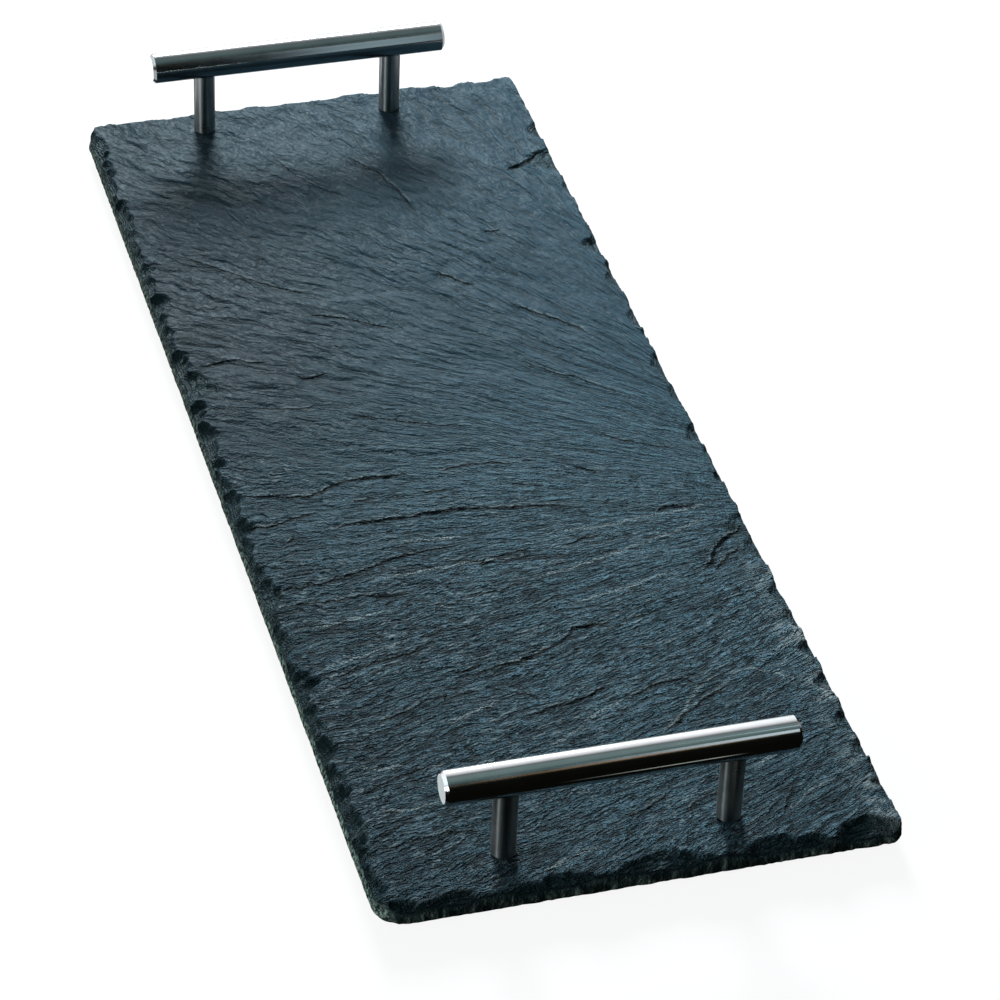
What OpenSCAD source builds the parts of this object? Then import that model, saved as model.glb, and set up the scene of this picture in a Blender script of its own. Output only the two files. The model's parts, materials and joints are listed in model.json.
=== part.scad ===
// Slate serving board: a riven slate slab with a low bar handle on two posts at each end.
// Origin: the middle of the ground plane under the feet. +Y runs along the board and +Z is up.

/* [Slate] */
// Width of the slate, left to right
board_w = 150; // [110:1:220]
// Length of the slate, front to back
board_l = 400; // [280:5:520]
// Thickness of the slate
board_t = 6; // [5:0.5:10]
// Rounding of the front left corner, seen from above
front_left_r = 9; // [4:0.5:14]
// Rounding of the front right corner
front_right_r = 5; // [4:0.5:14]
// Rounding of the back right corner
back_right_r = 4; // [4:0.5:14]
// Rounding of the back left corner
back_left_r = 7; // [4:0.5:14]

/* [Dressed edges] */
// Average length of one chip along the edge
chip_pitch = 13; // [8:0.5:30]
// How far the deepest chip bites into the top face
chip_depth = 3.4; // [1:0.1:4.5]
// How far the deepest chip reaches down the edge
chip_height = 3.6; // [1:0.1:4]
// Bevel that is left between the chips
edge_bevel = 0.9; // [0.3:0.1:1.5]
// Depth of the upright flutes on the broken edge
flute_depth = 0.35; // [0:0.05:0.6]

/* [Riven face] */
// Height of the cleavage steps on the top face
riven_relief = 0.55; // [0:0.05:0.8]
// Distance between the cleavage steps, across the grain
grain_pitch = 15; // [10:1:40]
// Size of the facets that make up the top face
facet_size = 6; // [5:0.5:12]
// Distance from the middle of the board to the line where the grain runs straight across
grain_level_y = 60; // [0:1:100]
// Reach of the grain fan in the front part
front_fan_reach = 300; // [200:5:500]
// Reach of the grain fan in the back part
back_fan_reach = 150; // [130:5:500]

/* [Handles] */
// Diameter of the grip bars
bar_d = 10; // [8:0.5:14]
// Length of the grip bars
bar_l = 100; // [90:1:120]
// Chamfer at the ends of the bars
bar_chamfer = 0.9; // [0.3:0.1:1.5]
// Height of the bar's axis above the slate
bar_height = 26; // [24:0.5:40]
// Diameter of the posts
post_d = 7; // [6:0.5:8]
// Distance between the two posts of a handle
post_pitch = 64; // [50:1:72]
// Chamfer at the foot of each post
post_chamfer = 0.3; // [0.1:0.05:0.6]
// Distance that both handles sit to the right of the middle (negative is left)
handle_shift = -4; // [-8:0.5:8]
// Distance from the front edge to the front handle
front_setback = 16; // [12:0.5:30]
// Distance from the back edge to the back handle
back_setback = 11.5; // [11:0.5:30]

/* [Fasteners] */
// Diameter of the screws and studs
screw_d = 4; // [3:0.5:4]
// Length of the screws under the head
screw_l = 14; // [12:0.5:16]
// Diameter of the screw heads
head_d = 8; // [7:0.5:9]
// Height of the screw heads
head_h = 2.6; // [2:0.1:3]
// Diameter of the washers
washer_d = 9; // [8:0.5:10]
// Thickness of the washers
washer_t = 0.8; // [0.5:0.1:1]
// Diameter of the recess under the slate for washer and head
recess_d = 11; // [10.5:0.5:14]
// Depth of that recess
recess_depth = 1.6; // [0.8:0.1:2]
// Diameter of the holes through the slate
hole_d = 5; // [4.5:0.1:6]
// Length of the studs that join post and bar
stud_l = 10; // [8:0.5:12]
// Length of each stud inside the bar
stud_in_bar = 5; // [4:0.5:5.5]
// Width of the slots of the cross recess
cross_w = 0.9; // [0.6:0.1:1.2]
// Length of those slots
cross_l = 4.4; // [3:0.1:5]
// Depth of those slots
cross_depth = 1.3; // [0.8:0.1:1.6]

/* [Feet] */
// Diameter of the feet
foot_d = 12; // [8:0.5:16]
// Height of the feet
foot_h = 3; // [3:0.5:6]
// Rounding of their lower edge
foot_r = 0.8; // [0.3:0.1:1.5]
// Distance from the sides of the slate to the middle of the feet
foot_inset_x = 18; // [14:0.5:30]
// Distance from the ends of the slate to the middle of the feet
foot_inset_y = 38; // [30:0.5:60]

/* [Hidden] */
$fn = 64;

// Clearances and overruns
thread_gap = 0.1;
washer_gap = 0.15;
saddle_gap = 0.03;
hole_runout = 1.5;
overrun = 1;
thread_chamfer = 0.5;
// Flat place around each hole, where the post stands
seat_r = post_d / 2 + 1.5 * facet_size;
seat_fade = 2 * facet_size;
// Distance from the outline to the facets of the top face
rim_margin = chip_depth + edge_bevel + 0.2 * facet_size;

// Colours, as the photograph shows them
slate_colour = "#47565f";
steel_colour = "#b9bec0";
zinc_colour = "#9a9c98";
rubber_colour = "#1d1e20";

// Heights and places that the pieces share
slate_z = foot_h;
top_z = slate_z + board_t;
bar_z = top_z + bar_height;
front_y = -board_l / 2 + front_setback;
back_y = board_l / 2 - back_setback;
left_x = handle_shift - post_pitch / 2;
right_x = handle_shift + post_pitch / 2;
front_left = [left_x, front_y];
front_right = [right_x, front_y];
back_left = [left_x, back_y];
back_right = [right_x, back_y];
posts = [front_left, front_right, back_left, back_right];
foot_x = board_w / 2 - foot_inset_x;
foot_y = board_l / 2 - foot_inset_y;
washer_z = slate_z + recess_depth - washer_t;

// Smooth noise between 0 and 1
speckle = rands(0, 1, 4093, 27);
function speckle_at(i, j) = let (n = len(speckle)) speckle[((i * 37 + j * 613) % n + n) % n];
function ease(t) = t * t * (3 - 2 * t);
function mix(a, b, t) = a + (b - a) * t;
function noise(x, y) =
    let (i = floor(x), j = floor(y), u = ease(x - i), v = ease(y - j))
    mix(mix(speckle_at(i, j), speckle_at(i + 1, j), u),
        mix(speckle_at(i, j + 1), speckle_at(i + 1, j + 1), u), v);

// The cleavage grain is a fan of lines. The first coordinate counts across them, the second along them.
function fan_reach(y) = y < -grain_level_y ? front_fan_reach : back_fan_reach;
function grain(x, y) =
    let (reach = fan_reach(y), rise = y + grain_level_y)
    [rise / (1 - x / reach), norm([reach - x, rise]) - reach] / grain_pitch;

// Cleavage steps: flat treads with short risers, over a slow swell
function tread(t) = let (k = floor(t), u = t - k) k + ease(min(1, max(0, (u - 0.3) / 0.4)));
function steps(g) = tread(4 * noise(g[0], g[1] / 4)) / 4;
function swell(g) = noise(g[0] / 5 + 9, g[1] / 9 + 4);
function seat_fading(x, y) =
    min([for (p = posts) ease(min(1, max(0, (norm([x, y] - p) - seat_r) / seat_fade)))]);
function relief(x, y) =
    let (g = grain(x, y))
    riven_relief * seat_fading(x, y) * (0.7 * steps(g) + 0.6 * swell(g) - 0.65);

// Facets of the top face, and points around the rim in units of those facets
cells_x = round((board_w - 2 * rim_margin) / facet_size);
cells_y = round((board_l - 2 * rim_margin) / facet_size);
rim_count = 2 * (cells_x + cells_y);
function rim_cell(k) =
    k < cells_x ? [k, 0]
    : k < cells_x + cells_y ? [cells_x, k - cells_x]
    : k < 2 * cells_x + cells_y ? [2 * cells_x + cells_y - k, cells_y]
    : [0, rim_count - k];

// Corner rounding of the quarter of the board that holds a point
function corner_r(x, y) =
    y < 0 ? (x < 0 ? front_left_r : front_right_r) : (x < 0 ? back_left_r : back_right_r);

// Plan place of a cell corner on a rounded rectangle that lies margin inside the outline
function plan(cell, margin) =
    let (x = (cell[0] / cells_x - 0.5) * (board_w - 2 * margin),
         y = (cell[1] / cells_y - 0.5) * (board_l - 2 * margin),
         r = corner_r(x, y),
         d = [abs(x) - board_w / 2 + r, abs(y) - board_l / 2 + r])
    min(d) <= 0 ? [x, y]
    : let (pull = max(d) / norm(d) - 1) [x + sign(x) * d[0] * pull, y + sign(y) * d[1] * pull];

// Outward direction at a point of the outline
function outward(p) =
    let (r = corner_r(p[0], p[1]),
         d = [abs(p[0]) - board_w / 2 + r, abs(p[1]) - board_l / 2 + r])
    min(d) > 0 ? [sign(p[0]) * d[0], sign(p[1]) * d[1]] / norm(d)
    : d[0] / r > d[1] / r ? [sign(p[0]), 0] : [0, sign(p[1])];

// Chips follow one another around the rim; each is a shell with its own size
rim_length = 2 * (board_w + board_l);
chip_count = round(rim_length / chip_pitch);
function chip(k) =
    let (t = k / rim_count * chip_count, i = floor(t), u = 2 * (t - i) - 1)
    pow(speckle_at(i % chip_count, 5), 1.5) * sqrt(max(0, 1 - u * u));
function flute(k) = speckle_at(floor(2 * k), 11);

// Rings of points around the slate, from the underside up to the top arris
function rim_point(k, inset, z) =
    let (p = plan(rim_cell(k), 0), n = outward(p)) [p[0] - inset * n[0], p[1] - inset * n[1], z];
function bottom_point(k) = rim_point(k, 0, slate_z);
function waist_point(k) =
    rim_point(k, flute_depth * flute(k), top_z - edge_bevel - (chip_height - edge_bevel) * chip(k));
function arris_point(k) =
    let (p = rim_point(k, edge_bevel + (chip_depth - edge_bevel) * chip(k), 0))
    [p[0], p[1], top_z + relief(p[0], p[1])];
function face_point(i, j) =
    let (p = plan([i, j], rim_margin)) [p[0], p[1], top_z + relief(p[0], p[1])];

// Point numbers: two points per cell on each ring, then the grid of the top face
ring_n = 2 * rim_count;
arris_0 = 2 * ring_n;
face_0 = 3 * ring_n;
function face_n(c) = face_0 + c[0] + c[1] * (cells_x + 1);
function next_on_ring(m) = (m + 1) % ring_n;

slate_points = [
    for (m = [0:ring_n - 1]) bottom_point(m / 2),
    for (m = [0:ring_n - 1]) waist_point(m / 2),
    for (m = [0:ring_n - 1]) arris_point(m / 2),
    for (j = [0:cells_y], i = [0:cells_x]) face_point(i, j),
];

edge_faces = [
    for (ring = [0, ring_n], m = [0:ring_n - 1]) each
        let (a = ring + m, b = ring + next_on_ring(m), c = b + ring_n, d = a + ring_n)
        [[a, d, b], [b, d, c]],
];

// Two points of the arris meet each cell of the top face's own rim
rim_faces = [
    for (k = [0:rim_count - 1]) each
        let (a = arris_0 + 2 * k, b = a + 1, c = arris_0 + next_on_ring(2 * k + 1),
             e = face_n(rim_cell(k)), f = face_n(rim_cell((k + 1) % rim_count)))
        [[a, e, b], [b, e, f], [b, f, c]],
];

top_faces = [
    for (j = [0:cells_y - 1], i = [0:cells_x - 1]) each
        let (a = face_n([i, j]), b = a + 1, c = face_n([i, j + 1]), d = c + 1)
        (i + j) % 2 == 0 ? [[a, c, b], [b, c, d]] : [[a, d, b], [a, c, d]],
];

module riven_slab() {
    polyhedron(
        points = slate_points,
        faces = concat([[for (m = [0:ring_n - 1]) m]], edge_faces, rim_faces, top_faces),
        convexity = 4
    );
}

// Upright cylinder with chamfered ends, standing on z = 0
module pin(d, h, low_chamfer, high_chamfer) {
    r = d / 2;
    rotate_extrude()
        polygon([
            [0, 0], [r - low_chamfer, 0], [r, low_chamfer],
            [r, h - high_chamfer], [r - high_chamfer, h], [0, h],
        ]);
}

module slate_board() {
    color(slate_colour)
        difference() {
            riven_slab();
            for (p = posts)
                translate([p[0], p[1], slate_z]) {
                    translate([0, 0, -overrun])
                        cylinder(d = hole_d, h = board_t + riven_relief + 2 * overrun);
                    translate([0, 0, -overrun])
                        cylinder(d = recess_d, h = recess_depth + overrun);
                }
        }
}

// A grip bar along X with two blind holes in its underside for the studs
module grip_bar(y) {
    color(steel_colour)
        translate([handle_shift, y, bar_z])
            difference() {
                rotate([0, 90, 0])
                    translate([0, 0, -bar_l / 2])
                        pin(bar_d, bar_l, bar_chamfer, bar_chamfer);
                for (side = [-1, 1])
                    translate([side * post_pitch / 2, 0, -bar_d / 2 - overrun])
                        cylinder(d = screw_d + 2 * thread_gap, h = overrun + stud_in_bar + thread_gap);
            }
}

// A post: flat foot on the slate, saddle under the bar, and a blind thread in each end
module post(p) {
    stud_below = stud_l - stud_in_bar;
    screw_inside = screw_l - (board_t - recess_depth) - washer_t;
    color(steel_colour)
        translate([p[0], p[1], top_z])
            difference() {
                pin(post_d, bar_height, post_chamfer, 0);
                translate([0, 0, bar_height])
                    rotate([0, 90, 0])
                        cylinder(d = bar_d + 2 * saddle_gap, h = 2 * post_d, center = true);
                translate([0, 0, -overrun])
                    cylinder(d = screw_d + 2 * thread_gap, h = screw_inside + hole_runout + overrun);
                translate([0, 0, bar_height - bar_d / 2 - stud_below - thread_gap])
                    cylinder(d = screw_d + 2 * thread_gap, h = stud_below + bar_d / 2);
            }
}

module stud(p) {
    color(zinc_colour)
        translate([p[0], p[1], bar_z - bar_d / 2 + stud_in_bar - stud_l])
            pin(screw_d, stud_l, thread_chamfer, thread_chamfer);
}

// A pan head screw, head down, with a cross recess
module screw(p) {
    r = head_d / 2;
    arc_steps = 8;
    dome = [for (k = [0:arc_steps]) let (a = 90 * k / arc_steps)
        [r * mix(0.55, 1, sin(a)), -head_h * mix(1, 0.3, 1 - cos(a))]];
    color(zinc_colour)
        translate([p[0], p[1], washer_z])
            difference() {
                union() {
                    pin(screw_d, screw_l, 0, thread_chamfer);
                    rotate_extrude()
                        polygon(concat([[0, 0], [0, -head_h]], dome, [[r, 0]]));
                }
                for (turn = [0, 90])
                    rotate(turn)
                        translate([-cross_l / 2, -cross_w / 2, -head_h - overrun])
                            cube([cross_l, cross_w, cross_depth + overrun]);
            }
}

module washer(p) {
    color(zinc_colour)
        translate([p[0], p[1], washer_z])
            difference() {
                cylinder(d = washer_d, h = washer_t);
                translate([0, 0, -overrun])
                    cylinder(d = screw_d + 2 * washer_gap, h = washer_t + 2 * overrun);
            }
}

// A rubber foot with a rounded lower edge
module foot(side, end) {
    r = foot_d / 2;
    arc_steps = 6;
    edge = [for (k = [0:arc_steps]) let (a = 90 * k / arc_steps)
        [r - foot_r + foot_r * sin(a), foot_r - foot_r * cos(a)]];
    color(rubber_colour)
        translate([side * foot_x, end * foot_y, 0])
            rotate_extrude()
                polygon(concat([[0, 0]], edge, [[r, foot_h], [0, foot_h]]));
}

module front_grip_bar() { grip_bar(front_y); }
module back_grip_bar() { grip_bar(back_y); }
module front_left_post() { post(front_left); }
module front_right_post() { post(front_right); }
module back_left_post() { post(back_left); }
module back_right_post() { post(back_right); }
module front_left_stud() { stud(front_left); }
module front_right_stud() { stud(front_right); }
module back_left_stud() { stud(back_left); }
module back_right_stud() { stud(back_right); }
module front_left_screw() { screw(front_left); }
module front_right_screw() { screw(front_right); }
module back_left_screw() { screw(back_left); }
module back_right_screw() { screw(back_right); }
module front_left_washer() { washer(front_left); }
module front_right_washer() { washer(front_right); }
module back_left_washer() { washer(back_left); }
module back_right_washer() { washer(back_right); }
module front_left_foot() { foot(-1, -1); }
module front_right_foot() { foot(1, -1); }
module back_left_foot() { foot(-1, 1); }
module back_right_foot() { foot(1, 1); }

slate_board();
front_grip_bar();
back_grip_bar();
front_left_post();
front_right_post();
back_left_post();
back_right_post();
front_left_stud();
front_right_stud();
back_left_stud();
back_right_stud();
front_left_screw();
front_right_screw();
back_left_screw();
back_right_screw();
front_left_washer();
front_right_washer();
back_left_washer();
back_right_washer();
front_left_foot();
front_right_foot();
back_left_foot();
back_right_foot();
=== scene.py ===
"""The looks of the slate serving board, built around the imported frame."""
import json
import math
from collections import namedtuple

import bpy
import numpy as np
from mathutils import Matrix, Vector


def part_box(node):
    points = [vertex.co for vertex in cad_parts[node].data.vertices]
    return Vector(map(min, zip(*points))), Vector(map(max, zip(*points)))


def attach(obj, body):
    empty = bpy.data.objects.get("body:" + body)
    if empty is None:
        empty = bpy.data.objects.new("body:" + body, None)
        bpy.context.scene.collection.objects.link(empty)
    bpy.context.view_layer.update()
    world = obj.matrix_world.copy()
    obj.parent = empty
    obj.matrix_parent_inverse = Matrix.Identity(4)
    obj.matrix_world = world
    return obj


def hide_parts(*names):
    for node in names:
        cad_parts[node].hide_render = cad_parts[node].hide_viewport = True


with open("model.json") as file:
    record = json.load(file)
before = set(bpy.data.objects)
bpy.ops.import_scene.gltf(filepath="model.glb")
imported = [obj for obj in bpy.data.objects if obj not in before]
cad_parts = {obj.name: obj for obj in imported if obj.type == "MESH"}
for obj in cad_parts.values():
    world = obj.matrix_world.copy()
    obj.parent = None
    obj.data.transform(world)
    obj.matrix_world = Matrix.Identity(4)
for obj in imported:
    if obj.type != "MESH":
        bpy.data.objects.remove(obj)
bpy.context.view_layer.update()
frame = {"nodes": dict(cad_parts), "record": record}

MM = 0.001
nodes = frame["nodes"]


# Sizes of the slate, read from the frame, in millimetres
def box_mm(node):
    low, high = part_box(node)
    return np.array(low) / MM, np.array(high) / MM


slate_low, slate_high = box_mm("slate_board")
HALF_X = (slate_high[0] - slate_low[0]) / 2
HALF_Y = (slate_high[1] - slate_low[1]) / 2
UNDER_Z = slate_low[2]
POSTS = ("front_left_post", "front_right_post", "back_left_post", "back_right_post")
TOP_Z = box_mm(POSTS[0])[0][2]
post_places = [((a + b) / 2)[:2] for a, b in map(box_mm, POSTS)]
foot_places = [((a + b) / 2)[:2] for a, b in map(box_mm, [p.replace("post", "foot") for p in POSTS])]
HOLE_R = 2.5
RECESS_R = 5.5
RECESS_Z = box_mm("front_left_washer")[1][2]
FOOT_R = 6.0

# Corner radii, from the front left round to the back left
CORNERS = {(-1, -1): 9.0, (1, -1): 5.0, (1, 1): 4.0, (-1, 1): 7.0}


class Perlin:
    """Seeded gradient noise between about -1 and 1, on a lattice of random directions."""

    size = 256

    def __init__(self, seed):
        angle = np.random.RandomState(seed).uniform(0, 2 * math.pi, (self.size, self.size))
        self.gx, self.gy = np.cos(angle), np.sin(angle)

    def __call__(self, x, y):
        i, j = np.floor(x).astype(int), np.floor(y).astype(int)
        u, v = x - i, y - j

        def corner(a, b):
            k = ((i + a) % self.size, (j + b) % self.size)
            return self.gx[k] * (u - a) + self.gy[k] * (v - b)

        fu, fv = (t * t * t * (t * (t * 6 - 15) + 10) for t in (u, v))
        low = corner(0, 0) * (1 - fu) + corner(1, 0) * fu
        high = corner(0, 1) * (1 - fu) + corner(1, 1) * fu
        return (low * (1 - fv) + high * fv) * 1.5


noises = [Perlin(seed) for seed in range(20)]


def smooth(a, b, x):
    """A smooth step from 0 at a to 1 at b."""
    t = np.clip((x - a) / (b - a), 0, 1)
    return t * t * (3 - 2 * t)


def vectors(*parts):
    """Vectors from up to three rows of numbers, with 0 for those that aren't given."""
    blank = np.zeros(len(parts[0]))
    return np.stack((*parts, blank, blank)[:3], -1)


def new_object(name, data):
    ob = bpy.data.objects.new(name, data)
    bpy.context.scene.collection.objects.link(ob)
    return ob


# The cleavage grain is a fan of lines round an apex to the right of the board. The apex lies further off
# in front than behind, and changes between two places along the board
FAN_Y = -60.0
APEX_FRONT, APEX_BACK = 300.0, 128.0
APEX_CHANGE = (-150.0, -50.0)
FAN_SPREAD = 0.2


def grain(x, y):
    """Grain coordinates in millimetres: q across the lines, p along them."""
    bend = 1 / APEX_FRONT + (1 / APEX_BACK - 1 / APEX_FRONT) * smooth(*APEX_CHANGE, y)
    rise = y - FAN_Y
    angle = np.arctan2(rise, 1 / bend - x)
    q = np.where(rise > 0, angle + FAN_SPREAD * angle ** 2, np.tan(angle)) / bend
    p = np.hypot(1 / bend - x, rise) - 1 / bend
    q = q + 1.5 * noises[0](p / 26, q / 19) + 0.7 * noises[1](p / 9, q / 7)
    return q, p


# Steps of the cleavage, coarse to fine: pitch, how far they wander, length along the grain, height
STEP_LAYERS = ((12.0, 1.3, 60.0, 0.44), (5.0, 0.9, 26.0, 0.20), (2.3, 0.7, 14.0, 0.08))


def step_layer(k, q, p):
    """A phase that counts the steps, and a strength: how high each one is and which way it falls."""
    pitch, wander, along, height = STEP_LAYERS[k]
    phase = q / pitch + wander * noises[2 + k](q / (2.4 * pitch), p / along)
    lean = 0.25 + 1.5 * noises[5 + k](q / (3 * pitch), p / (0.8 * along))
    return phase, height * np.clip(lean, -0.6, 1)


def ramp(phase, riser):
    """A slope that climbs over each step and falls back over its riser."""
    t = phase - np.floor(phase)
    return np.where(t < 1 - riser, t / (1 - riser), (1 - t) / riser) - 0.5


# Cracks and ledges seen in the photograph: drop on the near side, groove, points on the top face
MARKS = (
    (0.40, 1.0, (-71, -13.5), (-60, -16), (-50.6, -18.5), (-43.8, -15.6), (-38.8, -13.1), (-30, -12.9),
     (-20, -14), (-15, -16)),
    (0.25, 0.6, (-9, -15.5), (-1.2, -13.4), (7.5, -14), (15, -17)),
    (0.38, 1.0, (-48.8, -36.9), (-42.5, -34.4), (-32.5, -33.8), (-25, -34.4), (-15, -33.8), (-7.5, -34),
     (2.5, -36.2), (11.2, -37.5), (21.2, -38.8), (30, -43.1)),
    (0.3, 0.7, (-66, -61), (-50, -58.8), (-43.8, -56.9), (-35, -53.8), (-26.2, -51.9), (-11.2, -51)),
    (0.2, 0.5, (-20, -57), (-8, -59.5), (4, -58), (12, -60)),
    (0.22, 0.8, (18, -59), (25, -56.2), (30, -56.5)),
    (0.25, 0.6, (-70, -67), (-58, -68.5), (-46, -68), (-30, -70)),
    (0.25, 0.6, (-72, -29), (-65, -30.5), (-57, -28), (-48, -26)),
    (0.75, 1.0, (54.4, -79.6), (58.8, -75), (60.6, -70.6), (65, -66.2), (73.5, -60.5)),
    (0.34, 1.0, (-19, -109), (-10, -106.9), (-3.8, -105), (2.5, -102.5), (7.5, -98.8), (10, -96.2),
     (21, -96.4)),
    (0.2, 0.8, (-36, -119), (-27, -117), (-24, -117.8)),
    (0.32, 0.8, (-17, -131.9), (-7.5, -129.4), (2.5, -127.5), (13.8, -123)),
    (0.25, 0.8, (15, -131), (20, -128), (25, -126), (33.8, -125), (36.9, -128.8)),
    (0.28, 0.8, (21, -147), (27.5, -142.5), (31, -139.4), (36, -136), (40, -133.8), (46, -131)),
    (0.3, 0.6, (-69, -153.8), (-62.5, -150.6), (-53.8, -147.5), (-43.8, -143.8)),
    (0.25, 0.7, (18, -181), (19, -178), (25, -175), (31, -173.8)),
    (0.2, 0.5, (-70, -176), (-60, -175), (-48, -173), (-36, -175)),
    (0.22, 0.5, (-66, -104), (-52, -99), (-40, -97), (-30, -92)),
    (0.35, 0.9, (17.5, 88.8), (22.5, 83.8), (25, 80), (28.8, 78.8)),
    (0.35, 0.8, (36.2, 66.2), (41.2, 61.2), (47.5, 55.6), (53.8, 48.8), (56.2, 45)),
    (0.35, 0.9, (-69, 53.8), (-62.5, 54.4), (-55, 55.6), (-51.2, 53), (-46.2, 52.2)),
    (0.3, 0.8, (-38.8, 41.9), (-35, 40.6), (-30, 42.5)),
    (0.28, 0.6, (-27.5, 73.8), (-17.5, 70), (-10, 65), (-2.5, 60)),
    (0.28, 0.4, (-62.5, 117.5), (-53.8, 110), (-43.8, 100), (-32.5, 90), (-22, 84)),
    (0.3, 0.6, (38.8, 107.5), (45, 107.5)),
    (0.7, 0.9, (56, 142), (61.2, 143.8), (65, 146.2), (69.5, 149.6)),
    (0.25, 0.3, (-18, 168), (-14, 156), (-8, 146), (2, 136)),
    (0.3, 0.4, (6, 162), (14, 150), (18, 138), (21, 122)),
    (0.22, 0.5, (30, 36), (38, 28), (46, 22), (58, 10)),
    (0.2, 0.4, (-30, 20), (-16, 14), (-2, 8), (10, 4)),
    (0.22, 0.5, (-60, 30), (-48, 27), (-40, 25.5), (-36, 27)),
    (0.22, 0.5, (40, -5), (50, -12), (60, -18), (66, -20)),
    (0.25, 0.6, (-58, -125), (-48, -122), (-40, -118), (-30, -116.5)),
    (0.2, 0.7, (-31, -107), (-26, -108.2), (-20, -106)),
    (0.25, 0.7, (1, -179), (8, -176), (15, -172)),
    (0.2, 0.6, (43, -187), (46, -182), (50, -176.5)),
    (0.2, 0.6, (-66, -36.5), (-61, -39), (-58, -36)),
    (0.2, 0.6, (-38, -23.2), (-34, -23.6), (-30, -23.5)),
    (0.2, 0.6, (-17, -23.5), (-12, -24.3), (-8, -24)),
    (0.2, 0.5, (10, -26), (15, -27), (20, -28.5)),
    (0.22, 0.6, (31, -21.5), (35, -24), (38, -26.5)),
    (0.2, 0.6, (49, -49), (53, -47), (58, -48.5), (62, -48)),
    (0.22, 0.7, (-10, -61), (0, -61.5), (8, -60)),
    (0.3, 0.8, (58, -79.5), (63, -74.5), (69.5, -70)),
    (0.2, 0.7, (-45, -68.5), (-38, -69.5), (-32, -69)),
    (0.2, 0.7, (-15, -121), (-11, -122.5), (-9, -124.5)),
)

# Pale bruised lines seen in the photograph
SCUFFS = (
    [(-45, -61.5), (-30, -61), (-12, -59.5), (4, -60.5)],
    [(12, -50), (22, -52), (34, -52), (46, -50.5), (60, -49.5), (70, -48)],
    [(-34, -45.5), (-22, -46.5), (-8, -47.5)],
    [(0, -72.5), (18, -69), (38, -63.5), (56, -58), (70, -52)],
    [(-66, -80), (-52, -78), (-38, -76)],
    [(-68, -99), (-50, -94), (-36, -90)],
    [(10, -86), (30, -82), (48, -77)],
    [(-40, -127), (-34, -128), (-26, -125), (-18, -122)],
    [(20, -147), (29, -140), (33, -134), (40, -128)],
    [(0, -137), (8, -133), (16, -130)],
    [(-12, -146), (-6, -142), (2, -138)],
    [(52, -124), (58, -128), (66, -134)],
    [(-66, -141), (-60, -144), (-52, -143)],
    [(-68, -160), (-56, -162), (-46, -160)],
    [(40, -168), (48, -163), (60, -158)],
    [(44, -186), (52, -180), (60, -176)],
    [(-30, -195), (-20, -191), (-8, -188)],
)

# How far the drop beside a mark fades out, how far its line reaches, and the distance that means none is near
MARK_FADE = 9.0
MARK_SEEN = 2.6
FAR = 9.0


def near_line(points, margin, x, y):
    """Which of the points lie in the box round a line."""
    spot = np.array(points, float)
    low, high = spot.min(0) - margin, spot.max(0) + margin
    return (x > low[0]) & (x < high[0]) & (y > low[1]) & (y < high[1])


def line_strength(signed):
    """1 near a line, falling to 0 at MARK_SEEN."""
    return np.clip(1.6 - np.abs(signed) / MARK_SEEN * 1.6, 0, 1)


def polyline_distance(points, x, y):
    """Signed distance to a polyline, positive on its left, and the share of its length there."""
    best = np.full(x.shape, 1e9)
    signed, share = np.zeros(x.shape), np.zeros(x.shape)
    points = np.array(points, float)
    lengths = np.hypot(*np.diff(points, axis=0).T)
    run = np.concatenate([[0], np.cumsum(lengths)])
    for k in range(len(points) - 1):
        a, d = points[k], points[k + 1] - points[k]
        t = np.clip(((x - a[0]) * d[0] + (y - a[1]) * d[1]) / (d @ d), 0, 1)
        rx, ry = x - a[0] - t * d[0], y - a[1] - t * d[1]
        dist = np.hypot(rx, ry)
        closer = dist < best
        side = np.sign(d[0] * ry - d[1] * rx)
        best = np.where(closer, dist, best)
        signed = np.where(closer, side * dist, signed)
        share = np.where(closer, (run[k] + t * lengths[k]) / run[-1], share)
    return signed, share


def keep_stronger(far, power, near, signed, here):
    """Where a line is the strongest so far, its distance and strength are kept."""
    stronger = here > power[near]
    far[near] = np.where(stronger, signed, far[near])
    power[near] = np.where(stronger, here, power[near])


def apply_marks(x, y):
    """Height change of all marks, and for each point the distance to its mark and how strong it is."""
    change = np.zeros(x.shape)
    crack, power = np.full(x.shape, FAR), np.zeros(x.shape)
    wobble_x = 0.5 * noises[9](x / 3.1, y / 3.1)
    wobble_y = 0.7 * noises[10](x / 3.4, y / 3.4)
    for drop, groove, *points in MARKS:
        near = near_line(points, 30, x, y)
        sx, sy = x[near] + wobble_x[near], y[near] + wobble_y[near]
        signed, share = polyline_distance(points, sx, sy)
        taper = smooth(0, 0.18, share) * smooth(1, 0.82, share)
        below = smooth(0.35, -0.35, signed) * np.exp(-np.abs(signed) / MARK_FADE)
        trench = np.exp(-((signed + 0.2) / 0.7) ** 2)
        change[near] -= taper * (drop * below + 0.22 * groove * trench)
        here = groove * (0.25 + 0.75 * taper) * line_strength(signed)
        here = np.where((share <= 0) | (share >= 1), 0, here)
        keep_stronger(crack, power, near, signed, here)
    return change, crack, power


def apply_scuffs(x, y):
    """For each point the signed distance to its pale line and how strong the line is there."""
    far, power = np.full(x.shape, FAR), np.zeros(x.shape)
    wobble = 0.8 * noises[12](x / 2.7, y / 2.7)
    for points in SCUFFS:
        near = near_line(points, 6, x, y)
        signed, share = polyline_distance(points, x[near], y[near] + wobble[near])
        here = smooth(0, 0.2, share) * smooth(1, 0.8, share) * line_strength(signed)
        keep_stronger(far, power, near, signed, here)
    return far, power


def flat_seats(x, y, places, inner, outer):
    """0 on the flat seats round the given places and 1 away from them."""
    free = np.ones(x.shape)
    for a, b in places:
        free = np.minimum(free, smooth(inner, outer, np.hypot(x - a, y - b)))
    return free


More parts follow.
